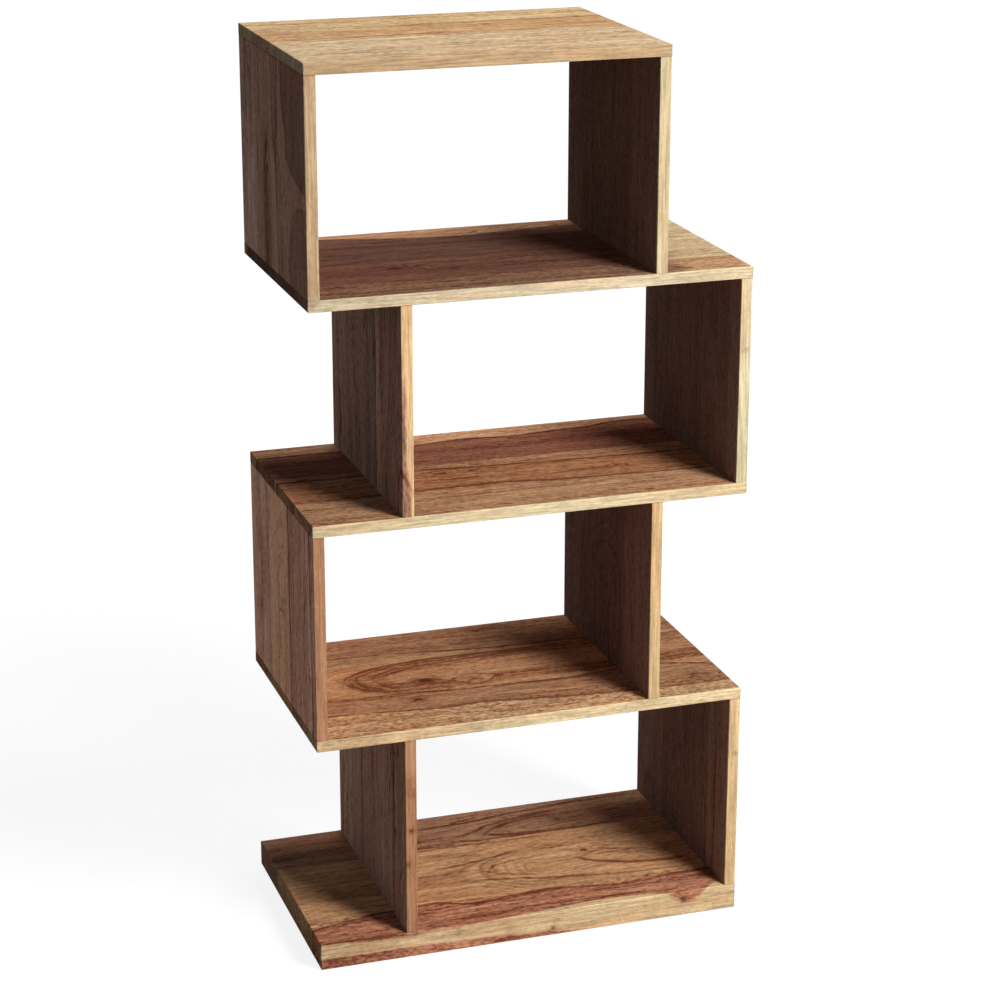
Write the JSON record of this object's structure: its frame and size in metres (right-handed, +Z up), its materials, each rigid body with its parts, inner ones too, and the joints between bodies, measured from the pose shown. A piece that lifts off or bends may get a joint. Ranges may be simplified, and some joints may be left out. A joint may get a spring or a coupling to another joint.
{
  "type": "zigzag bookshelf",
  "caption": "Open zigzag bookshelf of solid wood: box tiers stacked on a thick base and set back on alternate sides, with edge-glued staves and blind biscuit joints.",
  "frame": {"origin": "middle of the base's underside", "axes": "+Z up, +X to the right as seen from the front, front edges at -Y"},
  "size_m": [0.7, 0.4, 1.426],
  "materials": {
    "dark_heartwood": "satin oil",
    "red_heartwood": "satin oil",
    "golden_wood": "satin oil",
    "pale_sapwood": "satin oil",
    "beech_biscuit": "bare"
  },
  "bodies": {
    "root": {"base_back_stave": "dark_heartwood", "base_front_stave": "red_heartwood", "base_middle_stave": "golden_wood", "shelf_1_back_stave": "golden_wood", "shelf_1_front_stave": "golden_wood", "shelf_1_mid_back_stave": "golden_wood", "shelf_1_mid_front_stave": "red_heartwood", "shelf_2_back_stave": "pale_sapwood", "shelf_2_front_stave": "golden_wood", "shelf_2_mid_back_stave": "red_heartwood", "shelf_2_mid_front_stave": "golden_wood", "shelf_3_back_stave": "pale_sapwood", "shelf_3_front_stave": "golden_wood", "shelf_3_mid_back_stave": "dark_heartwood", "shelf_3_mid_front_stave": "red_heartwood", "tier_1_foot_biscuits": "beech_biscuit", "tier_1_head_biscuits": "beech_biscuit", "tier_1_left_upright_back_stave": "dark_heartwood", "tier_1_left_upright_front_stave": "red_heartwood", "tier_1_left_upright_mid_back_stave": "red_heartwood", "tier_1_left_upright_mid_front_stave": "dark_heartwood", "tier_1_right_upright_back_stave": "dark_heartwood", "tier_1_right_upright_front_stave": "pale_sapwood", "tier_1_right_upright_middle_stave": "dark_heartwood", "tier_2_foot_biscuits": "beech_biscuit", "tier_2_head_biscuits": "beech_biscuit", "tier_2_left_upright_back_stave": "dark_heartwood", "tier_2_left_upright_front_stave": "dark_heartwood", "tier_2_left_upright_mid_back_stave": "golden_wood", "tier_2_left_upright_mid_front_stave": "red_heartwood", "tier_2_right_upright_back_stave": "dark_heartwood", "tier_2_right_upright_front_stave": "pale_sapwood", "tier_2_right_upright_middle_stave": "dark_heartwood", "tier_3_foot_biscuits": "beech_biscuit", "tier_3_head_biscuits": "beech_biscuit", "tier_3_left_upright_back_stave": "dark_heartwood", "tier_3_left_upright_front_stave": "red_heartwood", "tier_3_left_upright_mid_back_stave": "red_heartwood", "tier_3_left_upright_mid_front_stave": "golden_wood", "tier_3_right_upright_back_stave": "dark_heartwood", "tier_3_right_upright_front_stave": "pale_sapwood", "tier_3_right_upright_mid_back_stave": "red_heartwood", "tier_3_right_upright_mid_front_stave": "dark_heartwood", "tier_4_foot_biscuits": "beech_biscuit", "tier_4_head_biscuits": "beech_biscuit", "tier_4_left_upright_back_stave": "golden_wood", "tier_4_left_upright_front_stave": "pale_sapwood", "tier_4_left_upright_middle_stave": "dark_heartwood", "tier_4_right_upright_back_stave": "dark_heartwood", "tier_4_right_upright_front_stave": "pale_sapwood", "tier_4_right_upright_middle_stave": "dark_heartwood", "top_board_back_stave": "golden_wood", "top_board_front_stave": "pale_sapwood", "top_board_middle_stave": "red_heartwood"}
  },
  "joints": []
}
